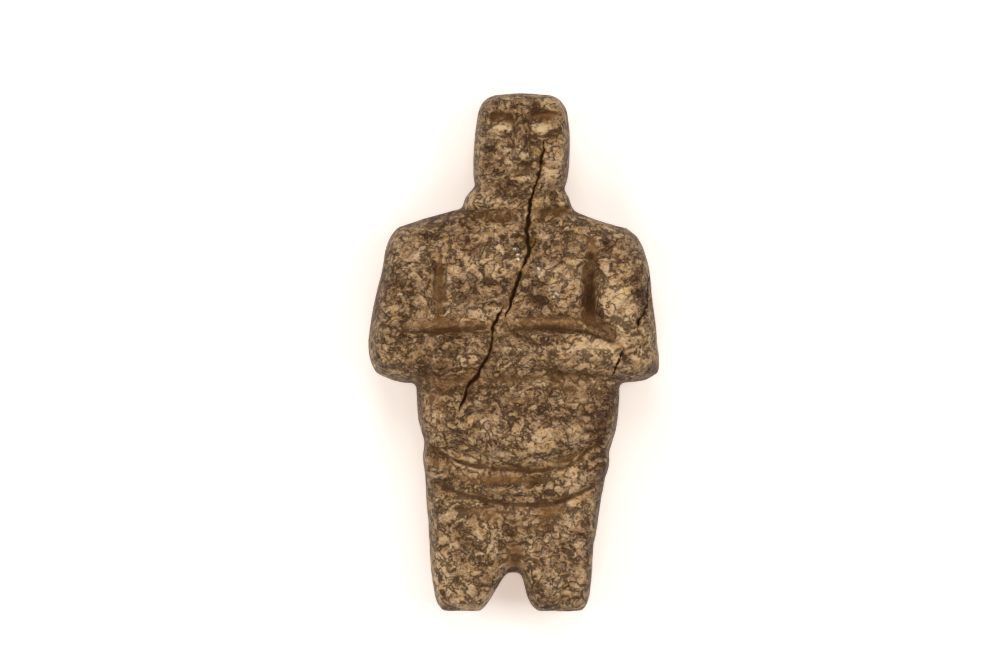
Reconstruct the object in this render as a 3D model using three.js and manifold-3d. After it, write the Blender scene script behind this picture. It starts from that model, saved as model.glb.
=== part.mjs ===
// Granite figure of a standing woman, carved from one stone, lying on its back.
// Millimetres: +X to the right as the figure is looked at, +Y towards the crown, +Z up out of the
// chest. The origin is under the middle of the figure, level with what it lies on.
import * as THREE from "three";
import { mergeVertices } from "three/addons/utils/BufferGeometryUtils.js";
import Module from "manifold-3d";

const wasm = await Module();
wasm.setup();

// Driving dimensions, in millimetres.
const HEIGHT = 260; // soles to crown
const DEPTH = 56; // back to the top of the belly
const GRANITE = "#7c6045";

// Places along the figure are hundredths of its height, counted up from the soles, and places
// across it are hundredths of its height too, counted from the middle of its greatest width.
// Levels are hundredths of its depth, counted up from the back.
const SHARE = HEIGHT / 100;
const LEVEL = DEPTH / 100;
const RIM = 42; // level at which the sides turn from front to back
const ROUNDNESS = 2.2; // 2 turns an edge over as an ellipse does, and more makes it squarer
const EDGE_ROWS = 3; // rows and columns of faces that turn an edge over
const SAWN = 0.35; // how far the soles and the back run on before they are cut flat
const BEYOND = 200; // shares or levels that reach past the figure on every side, for flat cuts

// A smooth curve through [place, value] stations.
function curve(stations) {
  const places = stations.map(([place]) => place);
  const values = stations.map(([, value]) => value);
  const through = new THREE.CubicInterpolant(places, values, 1);
  return (place) => through.evaluate(place)[0];
}

// A soft hill of height 1 at (across, along), of the given half widths.
function hill(x, v, [across, along], [wide, tall]) {
  return Math.exp(-(((x - across) / wide) ** 2) - ((v - along) / tall) ** 2);
}

// 0 before a place, 1 after it, over a soft step of the given width.
function step(place, at, width) {
  return THREE.MathUtils.smoothstep(place, at - width / 2, at + width / 2);
}

// Distances from 0 to length, close together within turn of either end, as the rows of a rounded
// edge are.
function spaced(length, turn, between) {
  const edge = Math.min(turn, length / 3);
  const ends = Array.from(
    { length: EDGE_ROWS },
    (_, i) => edge * (1 - Math.cos((i / EDGE_ROWS) * (Math.PI / 2))),
  );
  const middle = Array.from(
    { length: between + 1 },
    (_, i) => edge + ((length - 2 * edge) * i) / between,
  );
  return [...ends, ...middle, ...ends.map((place) => length - place).reverse()];
}

// A solid from triangles of points in shares and levels.
function solidOf(points, triangles) {
  const positions = points.flatMap(([x, v, level]) => [
    x * SHARE,
    (v - 50) * SHARE,
    level * LEVEL,
  ]);
  const geometry = new THREE.BufferGeometry();
  geometry.setAttribute(
    "position",
    new THREE.Float32BufferAttribute(positions, 3),
  );
  geometry.setIndex(triangles.flat());
  const merged = mergeVertices(geometry, 1e-3);
  const corners = merged.index.array;
  const kept = [];
  for (let i = 0; i < corners.length; i += 3) {
    const [a, b, c] = corners.slice(i, i + 3);
    if (a !== b && b !== c && a !== c) kept.push(a, b, c);
  }
  return new wasm.Manifold(
    new wasm.Mesh({
      numProp: 3,
      vertProperties: merged.attributes.position.array,
      triVerts: new Uint32Array(kept),
    }),
  );
}

// One rounded mass of stone between two side edges, each a curve of places across. Its lower and
// upper ends may sag at the middle. front and back give its levels at (across, along), and its
// edges turn over at the rim level, within the turn width.
function mass({
  from,
  to,
  left,
  right,
  sag = [0, 0],
  rows,
  columns,
  turn,
  rim = RIM,
  front,
  back,
}) {
  const [leftAt, rightAt] = [curve(left), curve(right)];
  const grid = spaced(to - from, turn, rows).map((up) => {
    const v = from + up;
    const [x0, x1] = [leftAt(v), rightAt(v)];
    const dip = THREE.MathUtils.lerp(...sag, up / (to - from));
    return spaced(x1 - x0, turn, columns).map((over) => {
      const aside = (2 * over) / (x1 - x0) - 1;
      return new THREE.Vector2(x0 + over, v - dip * (1 - aside ** 2));
    });
  });
  const width = grid[0].length;
  const outline = [
    ...grid[0],
    ...grid.map((row) => row[width - 1]),
    ...grid[grid.length - 1].slice().reverse(),
    ...grid.map((row) => row[0]).reverse(),
  ];
  const edgeDistance = (point) => {
    const nearest = new THREE.Vector3();
    const [line, place] = [
      new THREE.Line3(),
      new THREE.Vector3(point.x, point.y, 0),
    ];
    return Math.min(
      ...outline.map((start, i) => {
        const end = outline[(i + 1) % outline.length];
        line.start.set(start.x, start.y, 0);
        line.end.set(end.x, end.y, 0);
        return line
          .closestPointToPoint(place, true, nearest)
          .distanceTo(place);
      }),
    );
  };
  const fronts = [];
  const backs = [];
  grid.flat().forEach((point) => {
    const inward = Math.min(1, edgeDistance(point) / turn);
    const full = (1 - (1 - inward) ** ROUNDNESS) ** (1 / ROUNDNESS);
    const [x, v] = point.toArray();
    fronts.push([x, v, rim + (front(x, v) - rim) * full]);
    backs.push([x, v, rim - (rim - back(x, v)) * full]);
  });
  const triangles = [];
  for (let i = 0; i < grid.length - 1; i++) {
    for (let j = 0; j < width - 1; j++) {
      const a = i * width + j;
      const [b, c, d] = [a + 1, a + width + 1, a + width];
      const under = fronts.length;
      triangles.push([a, b, c], [a, c, d]);
      triangles.push([a + under, c + under, b + under]);
      triangles.push([a + under, d + under, c + under]);
    }
  }
  return solidOf([...fronts, ...backs], triangles);
}

// A block between two corners, in shares and levels, for cutting flat.
function block([x0, v0, level0], [x1, v1, level1]) {
  const corner = (i) => [
    i & 1 ? x1 : x0,
    i & 2 ? v1 : v0,
    i & 4 ? level1 : level0,
  ];
  const faces = [
    [0, 2, 3, 1],
    [4, 5, 7, 6],
    [0, 1, 5, 4],
    [2, 6, 7, 3],
    [0, 4, 6, 2],
    [1, 3, 7, 5],
  ];
  return solidOf(
    Array.from({ length: 8 }, (_, i) => corner(i)),
    faces.flatMap(([a, b, c, d]) => [
      [a, b, c],
      [a, c, d],
    ]),
  );
}

// The two legs: short rounded stumps, whose inner edges part at the notch.
function legs() {
  const shape = {
    from: -SAWN,
    to: 17,
    rows: 6,
    columns: 4,
    turn: 3,
    front: (x, v) => curve([[-1, 72], [4, 77], [10, 80], [17, 80]])(v),
    back: (x, v) => curve([[-1, 7], [6, 4], [17, 3]])(v),
  };
  const leftLeg = mass({
    ...shape,
    left: [[-1, -12.6], [0.3, -14.4], [1.8, -15.2], [4, -15.7], [10, -16.3], [17, -16.4]],
    right: [[-1, -7.4], [0.2, -6.0], [1.4, -5.0], [3.7, -3.6], [7.2, -1.2], [11, 1.6], [17, 2.4]],
  });
  const rightLeg = mass({
    ...shape,
    left: [[-1, 5.2], [0.2, 3.9], [1.4, 2.9], [3.1, 2.3], [5.7, 1.8], [7.4, 1.0], [11, -1], [17, -2]],
    right: [[-1, 12], [0.3, 13.7], [1.5, 14.4], [4.8, 14.9], [11.8, 15.6], [17, 15.8]],
  });
  return [leftLeg, rightLeg];
}

// The stone from the crotch to under the arms: hips below, waist and flanks above.
function trunk() {
  return mass({
    from: 7.2,
    to: 53,
    left: [
      [7.2, -9], [9.5, -15], [12, -16.35], [16.5, -16.65], [21.1, -17], [24.6, -17.2], [28.1, -17.5],
      [31, -17.5], [32.7, -17.3], [34, -17.9], [36, -18.5], [39, -18.9], [44, -19], [53, -18],
    ],
    right: [
      [7.2, 8.5], [9.5, 14.3], [12, 15.55], [16.5, 16.25], [21.1, 16.9], [24.6, 17.6], [28.1, 18.3],
      [30, 18.45], [31.2, 18.5], [32.7, 19.2], [35, 19.8], [38.5, 20.2], [44, 20.5], [53, 19],
    ],
    rows: 12,
    columns: 10,
    turn: 4,
    front: (x, v) => {
      const lift = curve([[7.2, 74], [14, 80], [20, 82], [27, 82], [40, 84], [53, 80]])(v);
      const valley = 5 * hill(x, v, [0.4, 7], [2.4, 6.5]);
      return lift + 3 * (1 - (x / 17) ** 2) - valley;
    },
    back: (x, v) =>
      curve([[7.2, 4], [14, 1], [20, -2], [28, -2.5], [36, 3], [44, 2.5], [53, 1]])(v) +
      3 * hill(x, v, [0.4, 9], [1.6, 8]),
  });
}

// The roll of the hips, a band whose lower lip hangs in a curve in front of the thighs.
function hipRoll() {
  return mass({
    from: 26.2,
    to: 33,
    left: [[26.2, -17.15], [28.1, -17.65], [31, -17.6], [33, -17]],
    right: [[26.2, 17.9], [28.1, 18.45], [31, 18.5], [33, 18]],
    sag: [5.0, 0],
    rows: 3,
    columns: 16,
    turn: 2.2,
    front: (x, v) => {
      const droop = 5.0 * (1 - (x / 17.8) ** 2);
      return curve([[26, 86], [28, 89.5], [30.5, 86], [34, 82]])(v + droop) + 2 * (1 - (x / 18) ** 2);
    },
    back: () => 20,
  });
}

// The waist with its flanks, which overhangs the roll of the hips in a second curve.
function waist() {
  return mass({
    from: 31.6,
    to: 50,
    left: [[31.6, -16.9], [33.2, -17.5], [35, -18.2], [38.5, -18.8], [44, -19], [50, -18]],
    right: [[31.6, 18.4], [33.2, 19.3], [35, 19.9], [38.5, 20.3], [44, 20.5], [50, 19]],
    sag: [4.1, 0],
    rows: 5,
    columns: 16,
    turn: 3,
    front: (x, v) => curve([[27, 92], [32, 93], [40, 90], [44, 86], [50, 82]])(v) - 5 * (x / 19) ** 2,
    back: () => 20,
  });
}

// The belly, a full rounded pad between the flanks.
function belly() {
  return mass({
    from: 29.6,
    to: 46,
    left: [[29.6, -8], [30.6, -12], [32.5, -14], [35.5, -14.6], [39, -13.6], [43, -10], [46, -5]],
    right: [[29.6, 9.6], [30.6, 13.4], [32.5, 15.2], [35.5, 15.9], [39, 15], [43, 12], [46, 6]],
    sag: [1.8, 0],
    rows: 6,
    columns: 10,
    turn: 7,
    rim: 78,
    front: (x, v) => curve([[27, 98], [33, 100], [40, 96], [46, 88]])(v),
    back: () => 60,
  });
}

// Shoulders, chest and folded arms in one broad mass. Its lower edge is the shelf under the
// elbows and forearms, and the chest is cut back between the arms.
function armsAndChest() {
  const chestTop = 71;
  const ledge = 54.2;
  return mass({
    from: 43.8,
    to: 78,
    left: [
      [43.8, -20.8], [44.4, -23.4], [45.5, -26.3], [46.7, -27.2], [48.2, -27.8], [51, -28.25],
      [53.6, -28.1], [59.4, -27.1], [65.2, -25.75], [68.7, -25.2], [71, -24.6], [72.2, -24],
      [73.4, -23.3], [74.5, -21.8], [75.7, -18.2], [76.9, -13.75], [78, -9.5],
    ],
    right: [
      [43.8, 22.8], [44.3, 25.4], [45.1, 27.6], [46.3, 28.1], [49, 28.25], [51, 28], [53.6, 27.75],
      [59.4, 27.1], [65.2, 26.5], [68.7, 25.6], [71, 24.7], [72.2, 24], [73.4, 23], [74.5, 20.8],
      [75.7, 15.9], [76.9, 12.2], [78, 10.5],
    ],
    rows: 16,
    columns: 16,
    turn: 4,
    front: (x, v) => {
      const lift = curve([[44, 94], [49, 97], [54, 95], [62, 91], [70, 87], [74, 80], [78, 74]])(v);
      const betweenArms = step(x, -13.6, 2.4) * (1 - step(x, 14.2, 2.4));
      const cutBack = step(v, ledge, 1.2) * 9 * (1 - (v - ledge) / (chestTop - ledge)) ** 1.5;
      const elbows = 3 * (Math.abs(x) / 28) ** 4;
      return lift - (v > ledge - 1 && v < chestTop ? betweenArms * cutBack : 0) - elbows;
    },
    back: (x, v) =>
      curve([[44, 2], [50, -1], [58, -3], [68, -2.5], [73, 4], [78, 12]])(v) +
      2.5 * hill(Math.abs(x), v, [14.4, 58], [1.6, 9]),
  });
}

// The neck behind the jaw, with a small knob below each ear.
function neck() {
  return mass({
    from: 71,
    to: 82.6,
    left: [[71, -9.6], [76, -10.4], [78.4, -10], [79.8, -9.6], [81, -8.7], [82.6, -6.5]],
    right: [[71, 11], [76, 11.9], [78.4, 11.3], [79.8, 10.9], [81, 10.2], [82.6, 8.5]],
    rows: 3,
    columns: 8,
    turn: 2.6,
    front: (x, v) => curve([[71, 72], [75.5, 74], [77.6, 81], [80, 84], [83, 82]])(v) - 3 * (x / 11) ** 2,
    back: (x, v) => curve([[71, 6], [77, 14], [83, 12]])(v),
  });
}

// The head, a tall block with a flat face: hollows under a straight brow, a long nose that
// widens to its foot, and a slight chin.
function head() {
  const middle = 1.4;
  return mass({
    from: 79.9,
    to: 99.6,
    sag: [0, -0.4],
    left: [
      [79.9, -5], [80.8, -6.7], [82.4, -7.65], [84.5, -7.9], [87, -7.95], [91, -7.75], [94.5, -7.35],
      [96.8, -6.9], [98.3, -6.1], [99.3, -4.9], [100, -2.6],
    ],
    right: [
      [79.9, 7.5], [80.8, 9.4], [82.4, 10.2], [84.5, 10.6], [87, 10.85], [91, 10.95], [94.5, 10.7],
      [96.8, 10.25], [98.3, 9.3], [99.3, 8.1], [100, 5.6],
    ],
    rows: 15,
    columns: 14,
    turn: 2.4,
    front: (x, v) => {
      const aside = Math.abs(x - middle);
      const plane = curve([[80, 84], [83, 87], [90, 90], [95, 90], [98, 87], [100, 84]])(v);
      const sockets = 5.5 * hill(aside, v, [3.9, 93.8], [2.8, 1.7]);
      const lids = 3 * hill(aside, v, [3.9, 92.5], [1.9, 0.9]);
      const noseWidth = THREE.MathUtils.mapLinear(v, 95, 86.4, 1.1, 2.1);
      const bridge = step(v, 86.2, 1) * (1 - step(v, 95.2, 1.6));
      const nose = 7 * bridge * Math.exp(-((aside / noseWidth) ** 4));
      const mouth = 2.5 * hill(aside, v, [0, 84.4], [2.8, 0.5]);
      return plane - sockets + lids + nose - mouth - 2 * (aside / 9) ** 2;
    },
    back: (x, v) => curve([[80, 12], [86, 6], [94, 6], [100, 12]])(v),
  });
}

const masses = [
  trunk(),
  ...legs(),
  hipRoll(),
  waist(),
  belly(),
  armsAndChest(),
  neck(),
  head(),
];
const body = masses.reduce((stone, added) => stone.add(added));

// Turns a solid back into a geometry with flat faces.
function geometryOf(solid) {
  const { vertProperties, triVerts } = solid.getMesh();
  const geometry = new THREE.BufferGeometry();
  geometry.setAttribute(
    "position",
    new THREE.BufferAttribute(vertProperties, 3),
  );
  geometry.setIndex(new THREE.BufferAttribute(triVerts, 1));
  geometry.computeVertexNormals();
  return geometry;
}

// The level of the carved front at a place, found by looking straight down on it.
const uncut = new THREE.Mesh(
  geometryOf(body),
  new THREE.MeshBasicMaterial({ side: THREE.FrontSide }),
);
const sight = new THREE.Raycaster();
function frontLevel(x, v) {
  sight.set(
    new THREE.Vector3(x * SHARE, (v - 50) * SHARE, BEYOND * LEVEL),
    new THREE.Vector3(0, 0, -1),
  );
  const [hit] = sight.intersectObject(uncut);
  return hit ? hit.point.z / LEVEL : RIM;
}

// A chisel cut along a path of places, halfWidth to each side and depth levels deep, which thins
// out at both ends.
function groove(path, halfWidth, depth) {
  const places = path.map(([x, v]) => new THREE.Vector3(x, v, 0));
  const line = new THREE.CatmullRomCurve3(places, false, "centripetal");
  const count = 3 * (path.length - 1);
  const section = [[-1.15, 6], [-0.6, -0.7], [0, -1], [0.6, -0.7], [1.15, 6]];
  const points = [];
  for (let i = 0; i <= count; i++) {
    const t = i / count;
    const { x, y: v } = line.getPoint(t);
    const along = line.getTangent(t);
    const thin = Math.max(0.25, Math.min(1, 4 * t, 4 * (1 - t)));
    const top = frontLevel(x, v);
    section.forEach(([out, down]) => {
      const offset = out * halfWidth * thin;
      const level = down > 0 ? top + down : top + down * depth * thin;
      points.push([x + along.y * offset, v - along.x * offset, level]);
    });
  }
  const sides = section.length;
  const triangles = [];
  for (let i = 0; i < count; i++) {
    for (let j = 0; j < sides; j++) {
      const [a, b] = [i * sides + j, i * sides + ((j + 1) % sides)];
      triangles.push([a, a + sides, b], [b, a + sides, b + sides]);
    }
  }
  for (let j = 1; j < sides - 1; j++) {
    const last = count * sides;
    triangles.push([0, j, j + 1], [last, last + j + 1, last + j]);
  }
  return solidOf(points, triangles);
}

// The lines that part the arms from the chest, the forearms from what lies above them, and the
// neck from the chest.
const carvedLines = [
  groove([[-13.9, 70], [-14.2, 63], [-14.4, 56]], 1.3, 5),
  groove([[14.4, 69.6], [14.6, 65], [14.3, 56.5], [16.9, 54.3], [20.7, 51.8]], 1.9, 10),
  groove([[-22, 53.6], [-14, 54.2], [-8, 54.6], [-3.2, 54.6]], 0.9, 4),
  groove([[-2, 54.2], [7, 54.9], [13, 54.6], [17, 53.4]], 0.9, 4),
  groove([[-9.4, 76], [0.5, 75.5], [10.2, 75.8]], 0.9, 3),
];

// The old break: a crack from under one eye, down the neck and chest and along the hand, to the
// top of the belly, and two short ones by the other elbow.
const cracks = [
  groove(
    [
      [5.8, 90.4], [5.5, 87.8], [4.8, 84.4], [4, 81.3], [3.1, 78.3], [2.7, 75.2], [2.1, 72.2],
      [2.9, 69.4], [1.8, 66.2], [0.2, 61.8], [-1.4, 58.6], [-3.7, 56.3], [-4.3, 53.4],
    ],
    0.26,
    7,
  ),
  groove(
    [[-4.4, 53.8], [-4.5, 51], [-5.3, 48.4], [-7, 46], [-8.9, 43.6], [-9.6, 41], [-10.6, 38.8]],
    0.24,
    6,
  ),
  groove([[26.1, 63.7], [25.5, 60.6], [25.4, 58.4], [24.4, 56.8], [23.7, 54.2]], 0.22, 4),
  groove([[21.3, 50.8], [20.4, 48.6], [19.4, 46.2]], 0.22, 4),
];

const belowSoles = block([-BEYOND, -BEYOND, -BEYOND], [BEYOND, 0, BEYOND]);
const underBack = block([-BEYOND, -BEYOND, -BEYOND], [BEYOND, BEYOND, 0]);
const cuts = [...carvedLines, ...cracks, belowSoles, underBack];
const carved = cuts.reduce((stone, cut) => stone.subtract(cut), body);

const figure = new THREE.Mesh(
  geometryOf(carved),
  new THREE.MeshStandardMaterial({
    color: GRANITE,
    roughness: 0.5,
    metalness: 0,
    flatShading: true,
  }),
);
figure.name = "figure";

const part = new THREE.Group();
part.add(figure);

export default part;
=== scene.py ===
"""Dresses a carved granite figure of a woman, lying on its back, for a studio picture."""

import logging
from dataclasses import dataclass
from enum import Enum
from typing import NamedTuple, Union

import bpy
import numpy as np
from bpy.types import Material, Mesh, Node, NodeSocket, NodeTree, Object
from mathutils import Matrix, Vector, noise


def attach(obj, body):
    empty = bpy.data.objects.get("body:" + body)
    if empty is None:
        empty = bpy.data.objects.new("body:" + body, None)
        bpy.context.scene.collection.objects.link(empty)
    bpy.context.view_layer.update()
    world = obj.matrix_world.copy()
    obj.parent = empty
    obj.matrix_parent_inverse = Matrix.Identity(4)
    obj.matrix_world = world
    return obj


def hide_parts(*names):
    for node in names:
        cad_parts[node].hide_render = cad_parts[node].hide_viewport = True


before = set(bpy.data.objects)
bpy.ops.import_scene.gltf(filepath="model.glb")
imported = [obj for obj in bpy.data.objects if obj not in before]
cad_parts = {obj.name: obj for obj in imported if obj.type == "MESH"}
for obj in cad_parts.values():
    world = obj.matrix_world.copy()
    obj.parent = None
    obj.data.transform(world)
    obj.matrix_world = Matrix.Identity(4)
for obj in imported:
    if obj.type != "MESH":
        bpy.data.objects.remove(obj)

log = logging.getLogger("figure")
MM = 0.001

# Where the camera is, and how high the outline that it sees lies, in millimetres
CAMERA_PLACE = (-7.0, 9.2, 1421.0)
OUTLINE_LEVEL = 22.7

# How a wandering stroke leaves its path
WANDER_PER_MM = 0.35
WANDER_SEED = 4.0

# How a crack's width varies along it, and where it narrows and closes
BREATHS = 40
BREATH_PACE = 0.9
BREATH_SEED = 2.0
NARROWEST = 0.35
NARROWING = 0.3
CLOSING = 0.06
SHALLOWEST = 0.5
FLANK_POWER = 1.1

# The share of a groove's length over which it fades in and out
FADE = 0.12

# How much of its own place a point keeps in each round of averaging
KEPT = 0.4

Points = tuple[tuple[float, float], ...]
Triple = tuple[float, float, float]
Colour = tuple[float, float, float, float]
Value = Union[NodeSocket, float, tuple[float, ...]]


def srgb(red: int, green: int, blue: int) -> Colour:
    """Turn a colour as a picture shows it into the one that a shader takes.

    Args:
        red: Red, 0 to 255.
        green: Green, 0 to 255.
        blue: Blue, 0 to 255.

    Returns:
        The linear colour, with alpha 1.
    """
    shares = (red / 255, green / 255, blue / 255)
    return (*(x / 12.92 if x <= 0.04045 else ((x + 0.055) / 1.055) ** 2.4 for x in shares), 1.0)


def only(piece: Object) -> None:
    """Select one object alone and make it the active one.

    Args:
        piece: The object.
    """
    bpy.ops.object.select_all(action="DESELECT")
    piece.select_set(True)
    bpy.context.view_layer.objects.active = piece


def smoothstep(place: np.ndarray, low: float, high: float) -> np.ndarray:
    """Rise softly from 0 at low to 1 at high."""
    share = np.clip((place - low) / (high - low), 0.0, 1.0)
    return share * share * (3 - 2 * share)


def taper(share: np.ndarray, ends: float) -> np.ndarray:
    """Fade from 0 at both ends of a line to 1 past the given share of it."""
    return smoothstep(share, 0.0, ends) * (1 - smoothstep(share, 1.0 - ends, 1.0))


def distances(places: np.ndarray, line: np.ndarray) -> tuple[np.ndarray, np.ndarray]:
    """Measure places against a line.

    Args:
        places: Places, one row each.
        line: The line's places in order.

    Returns:
        How far each place is from the line, and the share of the line's length at the nearest
        point.
    """
    if len(line) == 1:
        return np.linalg.norm(places - line[0], axis=1), np.full(len(places), 0.5)
    best = np.full(len(places), np.inf)
    share = np.zeros(len(places))
    lengths = np.linalg.norm(np.diff(line, axis=0), axis=1)
    starts = np.concatenate([[0.0], np.cumsum(lengths)])
    for index, length in enumerate(lengths):
        start = line[index]
        along = (line[index + 1] - start) / length
        offset = places - start
        run = np.clip(offset @ along, 0, length)
        apart = np.linalg.norm(offset - run[:, None] * along, axis=1)
        closer = apart < best
        best[closer] = apart[closer]
        share[closer] = (starts[index] + run[closer]) / starts[-1]
    return best, share


def as_seen(places: np.ndarray) -> np.ndarray:
    """Move places to where the camera sees them against the outline's level.

    Args:
        places: Places in millimetres, one row each.

    Returns:
        Their places across and along.
    """
    middle = np.array(CAMERA_PLACE[:2])
    larger = (CAMERA_PLACE[2] - OUTLINE_LEVEL) / (CAMERA_PLACE[2] - places[:, 2])
    return middle + (places[:, :2] - middle) * larger[:, None]


class Ripple(NamedTuple):
    """Soft noise over the stone: its wavelength in millimetres, and its seed."""

    length: float
    seed: float

    def read(self, places: np.ndarray) -> np.ndarray:
        """Read the noise at places in millimetres, from -1 to 1."""
        shift = Vector((self.seed, self.seed * 1.7, self.seed * 0.6))
        return np.array([noise.noise(Vector(place) / self.length + shift) for place in places])


class Cut(Enum):
    """The shapes that a pull of the tool can leave."""

    GROOVE = "groove"
    HOLLOW = "hollow"
    CRACK = "crack"


class Mark(Enum):
    """The masks that the stone's points carry for its finish."""

    PALE = "pale"
    CRACK = "crack"
    BROWN = "brown"
    SHADE = "shade"
    GLINT = "glint"
    NEAR = "hollow_near"
    WIDE = "hollow_wide"


@dataclass(frozen=True)
class Stroke:
    """One pull of a tool over the front of the stone, in millimetres.

    A negative depth raises the stone.
    """

    path: Points
    width: float
    depth: float
    cut: Cut = Cut.GROOVE
    wander: float = 0.0

    def line(self) -> np.ndarray:
        """Run a smooth line through the path's points.

        Returns:
            The line's places, about a millimetre apart.
        """
        knots = np.array(self.path, dtype=float)
        if len(knots) == 1:
            return knots
        ends = np.vstack([2 * knots[0] - knots[1], knots, 2 * knots[-1] - knots[-2]])
        places = []
        for index in range(len(knots) - 1):
            before, start, end, after = ends[index:index + 4]
            steps = max(2, int(np.linalg.norm(end - start)))
            for share in np.arange(steps)[:, None] / steps:
                places.append(0.5 * (
                    2 * start + (end - before) * share
                    + (2 * before - 5 * start + 4 * end - after) * share ** 2
                    + (3 * start - before - 3 * end + after) * share ** 3
                ))
        line = np.vstack([*places, knots[-1]])
        if self.wander:
            across = np.gradient(line, axis=0)[:, ::-1] * (1, -1)
            across /= np.linalg.norm(across, axis=1)[:, None]
            drift = [
                noise.noise(Vector((x * WANDER_PER_MM, y * WANDER_PER_MM, WANDER_SEED)))
                for x, y in line
            ]
            line = line + across * self.wander * np.array(drift)[:, None]
        return line

    def apart(self, places: np.ndarray) -> np.ndarray:
        """Measure how far places are from the path."""
        return distances(places, self.line())[0]

    def around(self, places: np.ndarray, margin: float) -> np.ndarray:
        """Say which places lie in the box round the path, with a margin."""
        line = self.line()
        above, below = places > line.min(axis=0) - margin, places < line.max(axis=0) + margin
        return np.all(above & below, axis=1)

    def breath(self, share: np.ndarray) -> np.ndarray:
        """Give the uneven width of a crack along its path.

        Args:
            share: Shares of the path's length.

        Returns:
            The width at each, as a share of the stroke's own.
        """
        seed = self.path[0][0]
        widths = [
            1.0 + noise.noise(Vector((index * BREATH_PACE, seed, BREATH_SEED)))
            for index in range(BREATHS)
        ]
        return np.interp(share, np.linspace(0, 1, BREATHS), widths)

    def profile(self, distance: np.ndarray, share: np.ndarray) -> np.ndarray:
        """Give the form that the stroke leaves.

        Args:
            distance: How far each place is from the path.
            share: The share of the path's length at the nearest point.

        Returns:
            The depth at each place, as a share of the stroke's own.
        """
        if self.cut is Cut.CRACK:
            breath = self.breath(share)
            wide = self.width * breath * (NARROWEST + (1 - NARROWEST) * taper(share, NARROWING))
            shape = np.clip(1 - distance / wide, 0, 1) ** FLANK_POWER * taper(share, CLOSING)
            return shape * np.clip(breath, SHALLOWEST, 1.0)
        shape = np.exp(-((distance / self.width) ** 2))
        return shape * taper(share, FADE) if self.cut is Cut.GROOVE else shape

    def dig(self, places: np.ndarray) -> np.ndarray:
        """Say how far down the stroke takes each place.

        Args:
            places: Places across and along the figure, one row each.

        Returns:
            The depth at each place.
        """
        near = self.around(places, 3 * self.width)
        depths = np.zeros(len(places))
        if near.any():
            depths[near] = self.depth * self.profile(*distances(places[near], self.line()))
        return depths


Strokes = tuple[Stroke, ...]


def beside(strokes: Strokes, places: np.ndarray, width: float) -> np.ndarray:
    """Say how near places are to the closest of some strokes.

    Args:
        strokes: The strokes.
        places: Places across and along the figure, one row each.
        width: How far off it is until the nearness fades.

    Returns:
        1 on a stroke, fading softly to 0.
    """
    return np.maximum.reduce([np.exp(-((stroke.apart(places) / width) ** 2)) for stroke in strokes])


# The long crack from the right eye to the belly, and its two splinters
MAIN_CRACK: Strokes = (
    Stroke(
        ((15.4, 107.4), (14.8, 100), (13.4, 95.6), (12.8, 89.2), (10.8, 84), (9.2, 78)),
        0.85, 1.8, Cut.CRACK, wander=0.9,
    ),
    Stroke(
        (
            (12.4, 87.6), (10.4, 82.6), (8.3, 74.8), (7.6, 67), (6.4, 61.5), (7.3, 55), (7.4, 50),
            (4.6, 42.5), (2, 35.5), (0.4, 31), (-2, 23), (-5, 16),
        ),
        1.2, 2.4, Cut.CRACK, wander=0.8,
    ),
    Stroke(
        (
            (-4.5, 24), (-8, 17.5), (-10.6, 11.8), (-11.3, 3.5), (-13.1, -2), (-16.6, -8.5),
            (-19, -13), (-22.6, -15.8), (-24, -20.5), (-26.4, -26.5), (-28.4, -31),
        ),
        1.3, 2.4, Cut.CRACK, wander=0.8,
    ),
    Stroke(((8, 51), (10.4, 54.4), (11, 58)), 0.6, 1.2, Cut.CRACK, wander=0.6),
    Stroke(((-17.4, -10), (-20.5, -9), (-24, -9.6)), 0.5, 0.9, Cut.CRACK, wander=0.5),
)

# The cracks in the right arm, and two hairlines
SHORT_CRACKS: Strokes = (
    Stroke(
        ((68.5, 38.6), (67.2, 31), (67.4, 24.5), (65.8, 20), (63.4, 16.5), (61.8, 9.6)),
        1.0, 2.0, Cut.CRACK, wander=0.6,
    ),
    Stroke(
        ((55.4, 2.4), (53.4, -3.4), (51.4, -8), (49.4, -12.6)), 0.85, 1.9, Cut.CRACK, wander=0.6,
    ),
    Stroke(((11, 130), (10.2, 124), (9.2, 119)), 0.4, 0.6, Cut.CRACK, wander=0.6),
    Stroke(((-34.4, -36), (-35, -42), (-32, -50), (-27, -54.5)), 0.5, 0.9, Cut.CRACK, wander=0.4),
)

# Small flakes that have come off
CHIPS: Strokes = (
    Stroke(((62.4, 15.4),), 1.9, 1.6, Cut.HOLLOW),
    Stroke(((55.6, -3.2),), 1.9, 1.2, Cut.HOLLOW),
    Stroke(((13.6, 95.8),), 1.1, 1.0, Cut.HOLLOW),
    Stroke(((12.2, 89.4),), 1.4, 1.1, Cut.HOLLOW),
    Stroke(((38.8, 48.2),), 1.0, 0.9, Cut.HOLLOW),
    Stroke(((21.6, -76),), 1.0, 0.8, Cut.HOLLOW),
)

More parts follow.
